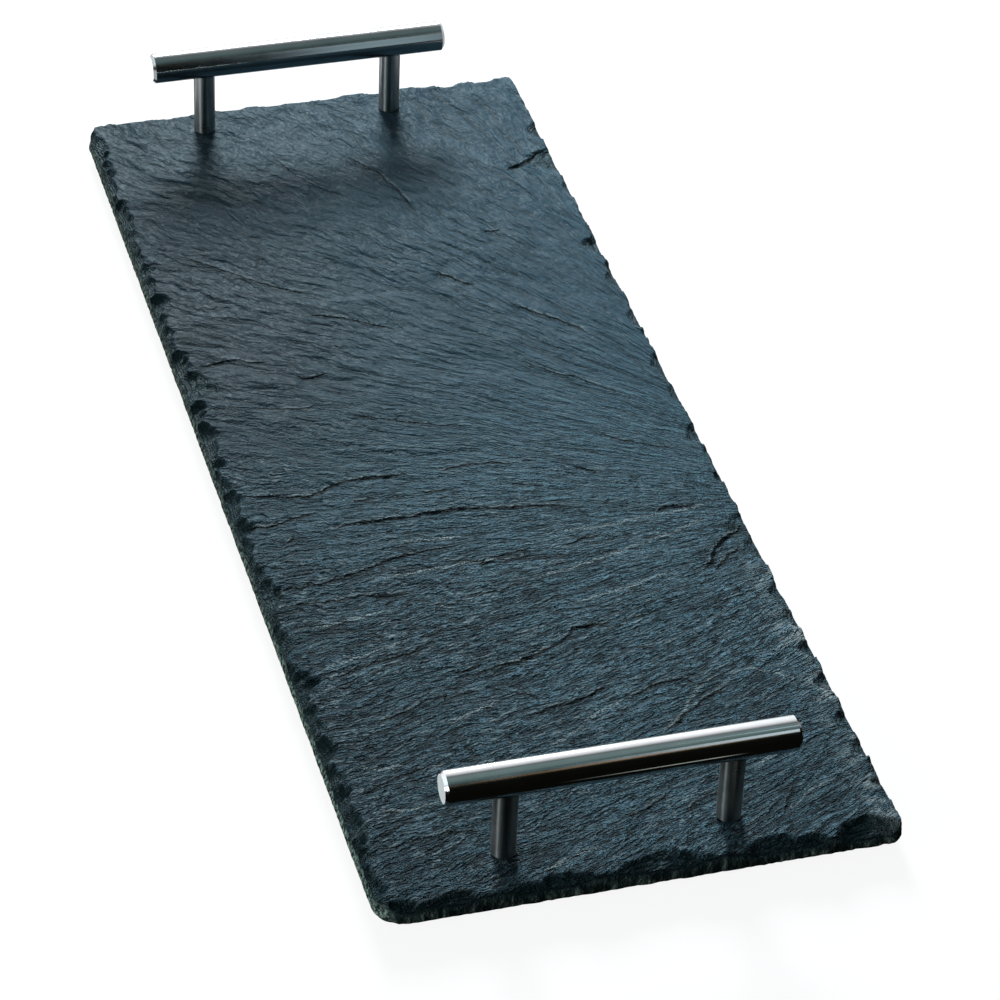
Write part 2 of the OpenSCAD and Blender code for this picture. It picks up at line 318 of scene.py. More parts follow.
# Dressed edges: where each side lies, and for its random chips the spacing, the ranges and the seed
Side = namedtuple("Side", "at pitch half bite drop seed")
SIDES = {
    "left": Side((-1, 0), 4.6, (2.6, 5.8), (2.9, 6.0), (1.9, 3.6), 41),
    "front": Side((0, -1), 5.2, (2.4, 6.5), (0.7, 3.2), (0.7, 2.2), 42),
    "right": Side((1, 0), 5.6, (2.0, 6.0), (0.5, 3.0), (0.5, 2.4), 43),
    "back": Side((0, 1), 6.5, (2.4, 7.5), (0.5, 2.4), (0.5, 2.2), 44),
}
# Chips seen in the photograph: centre along the edge, half length, bite into the top face, drop at the edge
BIG_CHIPS = {
    "left": (
        (57, 6, 5.0, 3.4), (47, 7, 8.5, 2.2), (41, 4, 12.0, 1.2), (92, 5, 5.4, 3), (-14, 5, 5.6, 3.2),
        (-28, 5, 5.6, 3.4), (-60, 9, 6.6, 3.0), (-104, 3.4, 7.4, 3.2), (-131, 6, 5.8, 3.2),
        (-162, 6, 6.0, 3.2), (20, 7, 5.4, 3.0),
    ),
    "front": (
        (3, 12, 6.2, 2.0), (10, 7, 4.5, 2.6), (64, 10, 6.8, 3.0), (70, 6, 3.6, 3.8), (-22, 8, 4.2, 2.4),
        (-33, 5, 2.6, 2.6), (-55, 9, 3.4, 2.2), (36, 8, 5.0, 2.6), (47, 5, 3.0, 2.8), (-68, 5, 4.0, 2.8),
    ),
    "right": (
        (-13, 5, 5.5, 1.6), (-36, 3, 3.2, 1.8), (-66, 11, 9.0, 1.1), (-72, 7, 5.0, 2.0), (-97, 7, 4.6, 1.8),
        (-107, 5, 4.0, 1.6), (-121, 4, 4.6, 1.8), (-136, 5, 5.0, 2.0), (-153, 5, 5.6, 1.8),
        (-165, 4, 4.6, 1.8), (-183, 6, 4.0, 1.8), (145, 7, 9.5, 1.2), (164, 5, 4.4, 1.6), (92, 5, 6.5, 1.8),
        (72, 5, 4.0, 1.8), (50, 6, 3.8, 1.4), (24, 6, 4.0, 1.8), (8, 5, 3.4, 1.6),
    ),
    "back": (
        (52, 5, 2.6, 2.2), (28, 7, 2.0, 1.6), (-10, 6, 1.8, 1.6), (-45, 8, 2.0, 1.6), (64, 5, 2.4, 2.0),
    ),
}


def chip_height(x, y):
    """How far the chips cut the top face down at each point."""
    cut = np.zeros(x.shape)
    ragged = 1 + 0.16 * noises[11](x / 1.3, y / 1.3) + 0.26 * noises[12](x / 4.5, y / 4.5)
    for name, side in SIDES.items():
        # Half length of the side, and each point's place along it and depth inside it
        ax, ay = side.at
        reach, t, v = (HALF_X, x, HALF_Y - ay * y) if ay else (HALF_Y, y, HALF_X - ax * x)
        draw = np.random.RandomState(side.seed)
        shells = []
        place = -reach - 2
        while place < reach + 2:
            half, bite, drop = (draw.uniform(*span) for span in (side.half, side.bite, side.drop))
            shells.append((place, half, bite * draw.uniform(0.5, 1), drop))
            place += side.pitch * draw.uniform(0.5, 1.5)
        shells += list(BIG_CHIPS[name])
        for place, half, bite, drop in shells:
            lean = draw.uniform(-0.5, 0.5)
            near = (np.abs(t - place) < 1.3 * half) & (v < 1.4 * bite)
            u = (t[near] - place) / half
            shape = np.clip(1 - np.abs(u) ** 2.2, 0, 1) ** 0.7 * (1 + lean * u)
            depth = v[near] / np.maximum(bite * shape * ragged[near], 1e-3)
            shell = drop * np.clip(1 - depth, 0, 1) ** 0.62 * np.clip(shape * 1.5, 0, 1)
            cut[near] = np.maximum(cut[near], shell)
        # A ragged bevel joins the chips
        bite, drop = side.bite[0], side.drop[0]
        near = v < 3 * bite
        uneven = 0.75 + 1.1 * noises[19](t[near] / 5.0, v[near] / 9.0 + 7.3)
        width = bite * np.clip(uneven, 0.12, 2.2) * ragged[near]
        bevel = 0.8 * drop * np.clip(1 - v[near] / width, 0, 1) ** 0.7
        cut[near] = np.maximum(cut[near], bevel)
    return cut


LEDGE_PITCH = 0.75


def layered(cut, x, y):
    """Slate breaks along its layers, so a scar runs down in small ledges."""
    drift = 0.35 * noises[13](x / 6, y / 6)
    level = cut / LEDGE_PITCH + drift
    t = level - np.floor(level)
    stepped = (np.floor(level) + smooth(0.35, 0.75, t) - drift) * LEDGE_PITCH
    return np.where(cut > 0, np.maximum(0.45 * cut + 0.55 * stepped, 0.02), 0)


def top_height(x, y):
    """Height of the top face and the values that its material reads."""
    q, p = grain(x, y)
    phases, strengths = zip(*(step_layer(k, q, p) for k in range(3)))
    seat = flat_seats(x, y, post_places, 4.2, 9.0)
    swell = 0.26 * noises[14](q / 34, p / 80) + 0.17 * noises[15](q / 13, p / 34)
    fine = 0.09 * noises[16](q / 4.2, p / 11) + 0.05 * noises[17](x / 3.1, y / 2.6)
    steps = strengths[0] * ramp(phases[0], 0.14) + strengths[1] * ramp(phases[1], 0.3)
    change, crack, power = apply_marks(x, y)
    relief = np.clip(swell + fine + steps + change + 0.02, -1.4, 0.45) * seat
    cut = chip_height(x, y)
    scar = layered(cut, x, y)
    scar = scar + np.where(cut > 0, 0.06 * noises[18](x / 1.6, y / 1.6), 0)
    height = np.minimum(TOP_Z + relief, TOP_Z - scar + 0.35 * relief * (cut > 0))
    height = np.where(cut > 0.02, height, TOP_Z + relief)
    values = {
        "grain": vectors(q, p),
        "phase": np.stack(phases, -1),
        "strength": np.stack([s * seat for s in strengths], -1),
        "crack": vectors(crack, power * seat),
        "scuff": vectors(*apply_scuffs(x, y)),
        "scar": np.clip(cut / 0.5, 0, 1),
        "depth": cut,
    }
    return height, values


def scallops(s, pitch, depth, seed):
    """Upright flutes along an edge: hollow arcs of random width with ridges between them."""
    draw = np.random.RandomState(seed)
    knots = np.cumsum(draw.uniform(0.45, 1.55, 2000) * pitch)
    deep = draw.uniform(0.15, 1, 2001) * depth
    k = np.searchsorted(knots, s)
    left = np.where(k > 0, knots[np.maximum(k - 1, 0)], 0)
    u = (s - left) / (knots[k] - left)
    return deep[k] * 4 * u * (1 - u)


# The mesh: a grid for the top, rings down the edge, a coarser grid for the underside, and four drilled holes,
# in millimetres. A blend is a number of rings between a round hole and the square grid
RIM_INSET, RIM_ZONE, RIM_STEP = 0.7, 7.0, 0.58
STEP_X, STEP_Y = 1.2, 0.82
UNDER_INSET, UNDER_FINE, UNDER_COARSE = 2.2, 1.2, 3.2
TOP_BLEND, UNDER_BLEND = 6, 3
EDGE_ROWS = 8
# How close to the front or the left side a point counts as part of that face
FACE_ZONE = 6
SMOOTH_SLATE, SMOOTH_METAL = math.radians(42), math.radians(30)


def graded(half, fine, coarse, zone):
    """Places from -half to half with fine steps near both ends."""
    outer = np.linspace(0, zone, int(round(zone / fine)) + 1)
    inner = np.linspace(zone, half, int(round((half - zone) / coarse)) + 1)
    right = half - np.concatenate([outer, inner[1:]])
    return np.concatenate([-right, right[::-1][1:]])


def near_places(half, places, fine, coarse, width):
    """Places from -half to half with fine steps round the given ones."""
    out = [-half]
    while out[-1] < half:
        close = min(abs(out[-1] - c) for c in places) < width
        out.append(out[-1] + (fine if close else coarse))
    out = np.array(out)
    return (out + half) * (2 * half / (out[-1] + half)) - half


def rounded(x, y, inset):
    """Pulls a grid of points onto a rectangle with rounded corners that lies inset inside the outline."""
    x, y = x.copy(), y.copy()
    for (sx, sy), r in CORNERS.items():
        r = max(r - inset, 1.0)
        dx, dy = sx * x - (HALF_X - inset - r), sy * y - (HALF_Y - inset - r)
        here = (dx > 0) & (dy > 0)
        ax, ay = dx[here], dy[here]
        pull = np.maximum(ax, ay) / np.hypot(ax, ay)
        x[here] = sx * (HALF_X - inset - r + ax * pull)
        y[here] = sy * (HALF_Y - inset - r + ay * pull)
    return x, y


def outward(x, y):
    """Outward direction at points near the outline."""
    n = np.zeros((len(x), 2))
    flat = np.abs(x) - HALF_X > np.abs(y) - HALF_Y
    n[:, 0] = np.where(flat, np.sign(x), 0)
    n[:, 1] = np.where(flat, 0, np.sign(y))
    for (sx, sy), r in CORNERS.items():
        dx, dy = sx * x - (HALF_X - r), sy * y - (HALF_Y - r)
        here = (dx > 0) & (dy > 0)
        size = np.hypot(dx[here], dy[here])
        n[here] = np.stack([sx * dx[here] / size, sy * dy[here] / size], -1)
    return n


def ring_angles(count):
    """Angles of the points round a hole, from its front left."""
    return -0.75 * math.pi + 2 * math.pi * np.arange(count) / count


def walk_round(i0, j0, i1, j1):
    """Places of a grid on the border of a rectangle, counterclockwise from its lowest corner."""
    low = [(i, j0) for i in range(i0, i1)]
    right = [(i1, j) for j in range(j0, j1)]
    top = [(i, j1) for i in range(i1, i0, -1)]
    left = [(i0, j) for j in range(j1, j0, -1)]
    return low + right + top + left


class Grid:
    """A grid of points with round holes whose rims are rings of its own points."""

    ring_half = 4

    def __init__(self, xs, ys, inset, places, radius, blend):
        self.nx, self.ny = len(xs), len(ys)
        self.x, self.y = rounded(*np.meshgrid(xs, ys), inset)
        self.keep = np.ones((self.ny - 1, self.nx - 1), bool)
        self.rings = [self.open_hole(a, b, xs, ys, radius, blend) for a, b in places]

    def number(self, i, j):
        return j * self.nx + i

    def open_hole(self, a, b, xs, ys, radius, blend):
        """Turns the squares of points round a place into circles, and gives the rim's numbers."""
        ic, jc = np.abs(xs - a).argmin(), np.abs(ys - b).argmin()
        k = self.ring_half
        for c in range(k + blend - 1, k - 1, -1):
            ring = walk_round(ic - c, jc - c, ic + c, jc + c)
            mean = np.mean([np.hypot(self.x[j, i] - a, self.y[j, i] - b) for i, j in ring])
            w = smooth(0, 1, (c - k) / blend)
            r = radius if c == k else max(radius * (1 + 0.12 * (c - k)), radius + (mean - radius) * w)
            for (i, j), t in zip(ring, ring_angles(len(ring))):
                self.x[j, i] = (1 - w) * (a + r * math.cos(t)) + w * self.x[j, i]
                self.y[j, i] = (1 - w) * (b + r * math.sin(t)) + w * self.y[j, i]
        self.keep[jc - k:jc + k, ic - k:ic + k] = False
        return [self.number(i, j) for i, j in ring]

    def quads(self):
        j, i = np.nonzero(self.keep)
        a = self.number(i, j)
        return np.stack([a, a + 1, a + 1 + self.nx, a + self.nx], -1)

    def border(self):
        return np.array([self.number(i, j) for i, j in walk_round(0, 0, self.nx - 1, self.ny - 1)])


class Outline:
    """The slab's rough outline, made from the border of its top face."""

    def __init__(self, x, y):
        self.out = outward(x, y)
        self.x, self.y = x + self.out[:, 0] * RIM_INSET, y + self.out[:, 1] * RIM_INSET
        self.s = np.concatenate([[0], np.cumsum(np.hypot(np.diff(self.x), np.diff(self.y)))])
        # A slow wander, stronger at the right and the back, and upright flutes, deepest on the front face
        rough = 0.25 + 0.45 * (self.x > HALF_X - 1) + 0.45 * (self.y > HALF_Y - 1)
        wander = rough * (0.5 + 0.5 * self.noise(19, 9)) + 0.12 * self.noise(3, 2.2)
        self.wander = np.maximum(wander, 0)
        self.flutes = scallops(self.s, 3.0, 0.55, 61) * (0.35 + 0.65 * (self.y < FACE_ZONE - HALF_Y))
        self.lean = 0.6 + 0.9 * (self.x < FACE_ZONE - HALF_X)

    def noise(self, number, pitch, level=0.0):
        return noises[number](self.s / pitch, np.full(len(self.s), level))

    def shift(self, x, y):
        """How far points of the top face move so that its rim follows the outline."""
        gap = np.maximum(np.abs(x) - HALF_X, np.abs(y) - HALF_Y)
        turn, here = (np.arctan2(b / HALF_Y, a / HALF_X) for a, b in ((self.x, self.y), (x, y)))
        inward = np.interp(here, turn, self.wander + 0.5 * self.flutes, period=2 * math.pi)
        return -outward(x, y) * (inward * smooth(-RIM_ZONE, -RIM_INSET, gap))[:, None]

    def ring(self, t, rim_z):
        """Points of the edge at a share t of the way down from the rim."""
        grit = 0.10 * self.noise(4, 1.3, 4 * t) + 0.06 * self.noise(6, 0.7, 7 * t)
        hollow = self.flutes * (0.55 + 0.45 * math.sin(math.pi * t)) + np.abs(grit)
        under = 0.45 * smooth(0.86, 1.0, t) * (0.6 + 0.4 * self.noise(7, 4))
        inset = self.wander + (RIM_INSET * (1 - t) ** 1.3) * self.lean + hollow + under
        z = rim_z + (UNDER_Z - rim_z) * t ** 0.9
        return np.stack([self.x - self.out[:, 0] * inset, self.y - self.out[:, 1] * inset, z], -1)


def zipper(outer, inner, points):
    """Triangles between two closed rings of points, both counterclockwise from the same corner."""
    def run(ring):
        p = points[np.append(ring, ring[0])][:, :2]
        d = np.concatenate([[0], np.cumsum(np.hypot(*np.diff(p, axis=0).T))])
        return d / d[-1]

    ro, ri = run(outer), run(inner)
    no, ni = len(outer), len(inner)
    faces, a, b = [], 0, 0
    while a < no or b < ni:
        if b >= ni or (a < no and ro[a + 1] <= ri[b + 1]):
            faces.append((outer[a % no], inner[b % ni], outer[(a + 1) % no]))
            a += 1
        else:
            faces.append((outer[a % no], inner[b % ni], inner[(b + 1) % ni]))
            b += 1
    return np.array(faces)


class Shell:
    """Points in millimetres with the values that the material reads, and the faces between them."""

    vectors = ("grain", "phase", "strength", "crack", "scuff")
    scalars = ("scar", "depth", "edge", "crest")

    def __init__(self):
        self.points, self.faces, self.count = [], [], 0
        self.values = {key: [] for key in self.vectors + self.scalars}

    def add(self, points, **values):
        """Adds points and gives their numbers. A value that isn't given is 0."""
        size = len(points)
        for key, parts in self.values.items():
            blank = np.zeros((size, 3) if key in self.vectors else size)
            parts.append(values.get(key, blank))
        self.points.append(points)
        self.count += size
        return self.count - size + np.arange(size)

    def band(self, upper, lower, inside=False):
        """Faces between two closed rings, looking outward, or inward on the inside of a hole."""
        quads = np.stack([upper, lower, np.roll(lower, -1), np.roll(upper, -1)], -1)
        self.faces.append(quads[:, [0, 3, 2, 1]] if inside else quads)

    def mesh(self, name):
        """The mesh in metres, without the points that belong to no face."""
        points = np.concatenate(self.points)
        used = np.zeros(len(points), bool)
        for group in self.faces:
            used[group.ravel()] = True
        renumber = np.cumsum(used) - 1
        faces = [face for group in self.faces for face in renumber[group].tolist()]
        mesh = bpy.data.meshes.new(name)
        mesh.from_pydata((points[used] * MM).tolist(), [], faces)
        mesh.validate()
        for key, parts in self.values.items():
            kind, field = ("FLOAT_VECTOR", "vector") if key in self.vectors else ("FLOAT", "value")
            data = np.concatenate(parts)[used].astype(np.float32)
            mesh.attributes.new(key, kind, "POINT").data.foreach_set(field, data.ravel())
        mesh.shade_smooth()
        mesh.set_sharp_from_angle(angle=SMOOTH_SLATE)
        return mesh


def crests(z):
    """Hollows and crests of a grid of heights, from -1 to 1, against the mean of twelve neighbours."""
    near = (
        (0, 1), (0, -1), (1, 0), (-1, 0), (0, 2), (0, -2), (2, 0), (-2, 0),
        (1, 1), (-1, -1), (1, -1), (-1, 1),
    )
    mean = sum(np.roll(np.roll(z, di, 0), dj, 1) for di, dj in near) / len(near)
    return np.clip((z - mean) / 0.06, -1, 1).ravel()


def riven_underside(x, y, q, p):
    """Height of the underside, riven but shallower, with flat places for the feet and round the recesses."""
    calm = flat_seats(x, y, foot_places, FOOT_R + 0.5, FOOT_R + 5)
    calm = calm * flat_seats(x, y, post_places, RECESS_R + 0.5, RECESS_R + 4)
    lift = 0.22 * np.clip(0.6 + noises[8](q / 11, p / 30) + 0.5 * noises[9](q / 5, p / 14), 0, 2)
    return UNDER_Z + lift * calm


def add_top(shell):
    """The top face. Gives its grid and border, the outline, and the border's heights and depths."""
    top = Grid(
        graded(HALF_X - RIM_INSET, RIM_STEP, STEP_X, RIM_ZONE),
        graded(HALF_Y - RIM_INSET, RIM_STEP, STEP_Y, RIM_ZONE),
        RIM_INSET, post_places, HOLE_R, TOP_BLEND,
    )
    x, y = top.x.ravel(), top.y.ravel()
    z, values = top_height(x, y)
    for ring in top.rings:
        z[ring] = TOP_Z
    border = top.border()
    outline = Outline(x[border], y[border])
    points = np.stack([x, y, z], -1)
    points[:, :2] += outline.shift(x, y)
    shell.add(points, crest=crests(z.reshape(top.ny, top.nx)), **values)
    shell.faces.append(top.quads())
    return top, border, outline, z[border], values["depth"][border]


def add_under(shell):
    """The underside. Gives the numbers of its border and of the rims of its recesses."""
    under = Grid(*(
        near_places(half - UNDER_INSET, [round(place[k], 3) for place in post_places],
                    UNDER_FINE, UNDER_COARSE, 2 * RECESS_R)
        for k, half in ((0, HALF_X), (1, HALF_Y))
    ), UNDER_INSET, post_places, RECESS_R, UNDER_BLEND)
    x, y = under.x.ravel(), under.y.ravel()
    q, p = grain(x, y)
    no_line = vectors(np.full(len(x), FAR))
    points = np.stack([x, y, riven_underside(x, y, q, p)], -1)
    start = shell.add(points, grain=vectors(q, p), crack=no_line, scuff=no_line)[0]
    shell.faces.append((under.quads() + start)[:, ::-1])
    return under.border() + start, [np.array(ring) + start for ring in under.rings]


def build_slate():
    shell = Shell()
    top, upper, outline, rim_z, rim_depth = add_top(shell)
    no_line = vectors(np.full(len(upper), FAR))
    for row in range(1, EDGE_ROWS + 1):
        t = row / EDGE_ROWS
        ring = outline.ring(t, rim_z)
        z = ring[:, 2]
        lower = shell.add(
            ring, grain=vectors(outline.s, z), crack=no_line, scuff=no_line, scar=np.ones(len(z)),
            depth=np.maximum(rim_depth, TOP_Z - z), edge=np.full(len(z), min(1.0, t * 2.5)),
        )
        shell.band(upper, lower)
        upper = lower
    under_border, under_rims = add_under(shell)
    shell.faces.append(zipper(upper, under_border, np.concatenate(shell.points)))

    # Walls of the holes and recesses
    for (a, b), upper, rim in zip(post_places, top.rings, under_rims):
        angle = ring_angles(len(upper))
        for radius in (HOLE_R, RECESS_R):
            wall = [a + radius * np.cos(angle), b + radius * np.sin(angle), np.full(len(angle), RECESS_Z)]
            lower = shell.add(np.stack(wall, -1), scar=np.ones(len(angle)))
            shell.band(upper, lower, inside=True)
            upper = lower
        shell.band(upper, rim, inside=True)
    return new_object("slate_slab", shell.mesh("slate_slab"))


# Materials
class Tree:
    """Short calls for the nodes of a material or a world."""

    def __init__(self, owner):
        owner.use_nodes = True
        self.owner = owner
        self.nodes = owner.node_tree.nodes
        self.links = owner.node_tree.links
        self.shader = self.nodes.get("Principled BSDF")

    def add(self, kind, ins=None, **props):
        node = self.nodes.new("ShaderNode" + kind)
        for key, value in props.items():
            setattr(node, key, value)
        for key, value in (ins or {}).items():
            self.put(value, node.inputs[key])
        return node

    def put(self, value, socket):
        if isinstance(value, bpy.types.NodeSocket):
            self.links.new(value, socket)
        elif isinstance(value, bpy.types.Node):
            self.links.new(value.outputs[0], socket)
        else:
            socket.default_value = value

    def shade(self, ins):
        """Sets or links inputs of the main shader."""
        for key, value in ins.items():
            self.put(value, self.shader.inputs[key])

    def math(self, operation, a, b=0.0, c=0.0):
        node = self.add("Math", operation=operation)
        for value, socket in zip((a, b, c), node.inputs):
            self.put(value, socket)
        return node.outputs[0]

    def times(self, first, *others):
        for other in others:
            first = self.math("MULTIPLY", first, other)
        return first

    def plus(self, a, b):
        return self.math("ADD", a, b)

    def minus(self, a, b):
        return self.math("SUBTRACT", a, b)

    def fma(self, a, b, c):
        """a times b plus c."""
        return self.math("MULTIPLY_ADD", a, b, c)

    def attribute(self, name):
        return self.add("Attribute", attribute_name=name).outputs["Fac"]

    def vector_attribute(self, name):
        return self.add("Attribute", attribute_name=name).outputs["Vector"]

    def split(self, vector):
        return self.add("SeparateXYZ", {0: vector}).outputs

    def local(self):
        """The place on the object, in metres."""
        return self.add("TexCoord").outputs["Object"]

    def vector(self, operation, a, b, c=(0.0, 0.0, 0.0)):
        return self.add("VectorMath", {0: a, 1: b, 2: c}, operation=operation).outputs[0]

    def scaled(self, vector, scale):
        return self.vector("MULTIPLY", vector, scale)

    def dimmed(self, colour, factor):
        return self.add("VectorMath", {0: colour, "Scale": factor}, operation="SCALE").outputs[0]

    def distance(self, place, centre, stretch):
        """Distance from a centre, in stretched coordinates."""
        offset = self.scaled(self.vector("SUBTRACT", place, centre), stretch)
        return self.add("VectorMath", {0: offset}, operation="LENGTH").outputs["Value"]

    def noise(self, vector, scale, detail, rough=0.5, distortion=0.0):
        """Noise of one scale, or of three scales along the axes."""
        if isinstance(scale, tuple):
            vector, scale = self.scaled(vector, scale), 1.0
        ins = {"Vector": vector, "Scale": scale, "Detail": detail, "Roughness": rough}
        return self.add("TexNoise", {**ins, "Distortion": distortion}).outputs[0]

    def ridges(self, vector, scale, detail, distortion=0.0):
        """Sharp crests where the noise crosses zero, from 0 to about 2."""
        ins = {"Vector": self.scaled(vector, scale), "Scale": 1.0, "Detail": detail, "Roughness": 0.5}
        ins.update({"Distortion": distortion, "Offset": 1.0, "Gain": 1.5})
        return self.add("TexNoise", ins, noise_type="RIDGED_MULTIFRACTAL").outputs[0]

    def ramp(self, value, stops):
        node = self.add("ValToRGB", {"Fac": value})
        points = node.color_ramp.elements
        while len(points) < len(stops):
            points.new(0.5)
        for point, (place, colour) in zip(points, stops):
            point.position, point.color = place, (*colour, 1)
        return node.outputs[0]

    def mix(self, amount, a, b, blend="MIX"):
        node = self.add("Mix", data_type="RGBA", blend_type=blend)
        self.put(amount, node.inputs[0])
        for value, socket in ((a, node.inputs[6]), (b, node.inputs[7])):
            self.put((*value, 1) if isinstance(value, tuple) else value, socket)
        return node.outputs[2]

    def ease(self, value, low, high, to_low=0.0, to_high=1.0, kind="SMOOTHSTEP"):
        """Maps low and high to two other numbers, smoothly, and stops there."""
        ins = {"Value": value, "From Min": low, "From Max": high, "To Min": to_low, "To Max": to_high}
        return self.add("MapRange", ins, interpolation_type=kind).outputs[0]

    def straight(self, *numbers):
        return self.ease(*numbers, kind="LINEAR")

    def bump(self, height, distance, normal=None):
        node = self.add("Bump", {"Height": height, "Distance": distance})
        if normal is not None:
            self.put(normal, node.inputs["Normal"])
        return node.outputs[0]


def new_material(name):
    return Tree(bpy.data.materials.new(name))


# Colours of the slate: the stone from dark to light, then the marks over it, several of them painted light
# and shade
SLATE_RANGE = [(0.3, (0.0270, 0.0545, 0.0715)), (0.7, (0.0365, 0.0700, 0.0905))]
# Painted shade: darker and bluer toward the back
BACK_SHADE_TINT = (0.69, 0.77, 0.82)
# Painted highlight on the crests, painted shade in the grooves
CREST_HIGHLIGHT, GROOVE_SHADE = (0.175, 0.225, 0.250), (0.008, 0.016, 0.020)
# The first is painted shade in the hollows
HOLLOW_SHADE, SPECK_PALE = (0.018, 0.027, 0.032), (0.16, 0.20, 0.22)
# The second is painted shade in the gaps between sheets
SCAR_DARK, SHEET_GAP_SHADE = (0.013, 0.030, 0.031), (0.005, 0.009, 0.010)
# The first is a painted highlight on the lips of the cracks
LIP_HIGHLIGHT, BRUISE_PALE, RIM_PALE = (0.190, 0.240, 0.260), (0.25, 0.31, 0.33), (0.30, 0.36, 0.38)
# Painted shade in the cracks
CRACK_SHADE = (0.006, 0.010, 0.012)
FLUTE_RANGE = [
    (0.45, (0.012, 0.019, 0.018)), (0.56, (0.052, 0.078, 0.072)), (0.67, (0.165, 0.225, 0.205)),
]
SAWN_RANGE = [(0.45, (0.007, 0.013, 0.012)), (0.62, (0.240, 0.325, 0.290))]

# Along the board, in metres, the relief turns from soft behind to crisp in front
SOFT_FROM, CRISP_FROM = 0.06, -0.09
# Middles of an area with calmer wrinkles at the front right and of a dark stain at the left
CALM_PLACE, STAIN_PLACE = (0.056, -0.160, 0.0), (-0.056, 0.070, 0.0)
WRINKLE_MEAN = 0.6


def read_slate(t):
    """Values of the mesh, and noises that follow the grain: wrinkles in three sizes, grooves and grit."""
    t.grain = t.vector_attribute("grain")
    t.place = t.local()
    t.across, t.along, _ = t.split(t.place)
    t.crack, t.crack_power, _ = t.split(t.vector_attribute("crack"))
    t.scuff, t.scuff_power, _ = t.split(t.vector_attribute("scuff"))
    t.edge, t.scar, t.depth, t.crest = map(t.attribute, ("edge", "scar", "depth", "crest"))
    stray = t.add("TexNoise", {"Vector": t.grain, "Scale": 0.6, "Detail": 2.0}).outputs["Color"]
    stray = t.vector("SUBTRACT", stray, (0.5, 0.5, 0.5))
    stray = t.vector("MULTIPLY_ADD", stray, (1.1, 3.0, 0.0), t.grain)
    t.broad = t.noise(stray, (0.36, 0.085, 1), 1.0, 0.5, 0.2)
    calm = t.ease(t.distance(t.place, CALM_PLACE, (1.0, 0.8, 0.0)), 0.015, 0.060, 0.50, 1.0)
    t.wrinkle = t.times(t.minus(t.ridges(stray, (0.92, 0.24, 1), 1.5), WRINKLE_MEAN), calm)
    t.thread = t.noise(stray, (2.2, 0.52, 1), 0.0)
    t.crest_line = t.ridges(stray, (0.62, 0.12, 1), 2.0, 0.6)
    t.patch = t.noise(t.grain, (0.06, 0.022, 1), 2.0, 0.5, 0.4)
    t.groove = t.ridges(stray, (0.30, 0.07, 1), 2.0, 0.8)
    t.grit = t.noise(t.place, 1900.0, 0.0)
    t.pores = t.noise(t.place, 620.0, 3.0, 0.6)
    t.crisp = t.ease(t.along, SOFT_FROM, CRISP_FROM, 0.09, 1.0)
    # Weight of the crisp marks, from 0.24 behind to 1 in front; it also fades the painted crest highlights
    # and groove shade
    t.worn = t.ease(t.along, 0.05, CRISP_FROM, 0.24, 1.0)
    t.on_face = t.minus(1.0, t.edge)
    t.in_scar = t.times(t.scar, t.on_face)
    # Line of each crack, made ragged by noise: a dent in the relief and painted shade in the colour
    t.ragged = t.fma(t.noise(t.place, 900.0, 3.0, 0.6), 0.9, -0.45)
    off = t.math("ABSOLUTE", t.plus(t.crack, t.ragged))
    reach = t.fma(t.crack_power, -0.26, off)
    t.line = t.times(t.ease(reach, 0.24, 0.0), t.ease(t.crack_power, 0.05, 0.40))
    # Thin sheets that show in a scar, a slope and a riser for each bit of its depth
    depth = t.fma(t.noise(t.place, 160.0, 2.0), 2.2, t.times(t.depth, 2.3))
    t.sheet = saw(t, depth, 0.28)


def saw(t, phase, riser):
    """A slope that climbs over each turn of the phase and falls back over its riser."""
    turn = t.math("FRACT", phase)
    up = t.math("DIVIDE", turn, 1 - riser)
    down = t.math("DIVIDE", t.minus(1.0, turn), riser)
    return t.math("MINIMUM", up, down)


def slate_steps(t):
    """Crisp risers of the step layers, the finest one flatter toward the back."""
    phases, strengths = (t.split(t.vector_attribute(name)) for name in ("phase", "strength"))
    coarse, middle, fine = (
        t.times(saw(t, phase, riser), strength)
        for phase, strength, riser in zip(phases, strengths, (0.05, 0.1, 0.22))
    )
    fine = t.times(fine, t.ease(t.along, SOFT_FROM, CRISP_FROM, 0.7, 1.5))
    return t.plus(t.fma(coarse, 0.35, middle), fine)


def slate_relief(t):
    """The normal, from heights in millimetres and finer grit."""
    rough_patch = t.ease(t.patch, 0.34, 0.66, 0.65, 1.3)
    rise = t.times(t.fma(t.thread, 0.56, t.times(t.wrinkle, 0.46)), t.crisp, rough_patch)
    wide = t.times(rough_patch, t.fma(t.crisp, -0.35, 1.15))
    rise = t.fma(t.broad, wide, rise)
    rise = t.fma(t.fma(t.groove, -0.48, t.times(t.crest_line, 0.20)), t.worn, rise)
    rise = t.times(rise, t.fma(t.scar, -0.85, 1.0))
    rise = t.fma(t.times(t.sheet, t.in_scar), 0.34, rise)
    rise = t.plus(t.times(rise, t.on_face), slate_steps(t))
    rise = t.minus(rise, t.times(t.line, 0.3))
    rise = t.plus(rise, t.times(t.pores, t.fma(t.edge, 0.35, 0.10)))
    return t.bump(t.times(t.grit, t.crisp), 0.45 * MM, t.bump(rise, MM))


def tone_with_painted_light(t):
    """Drift of the tone over the board: random streaks, a stain at the left, and painted light and shade that
    make it lighter at the right and in front and darker behind.
    """
    streak = t.noise(t.grain, (0.5, 0.06, 1), 5.0, 0.65, 0.4)
    stain = t.distance(t.place, STAIN_PLACE, (1.0, 0.55, 0.0))
    tone = t.times(
        t.straight(streak, 0.3, 0.72, 0.80, 1.22),
        # Painted light and shade: lighter toward the right and the front, darker toward the back
        t.straight(t.across, -HALF_X * MM, HALF_X * MM, 0.80, 2.08),
        t.straight(t.along, -0.05, 0.19, 1.0, 0.89),
        t.ease(t.along, -0.06, 0.06, 1.12, 0.72),
    )
    return tone, t.ease(stain, 0.010, 0.062, 0.66, 1.0)


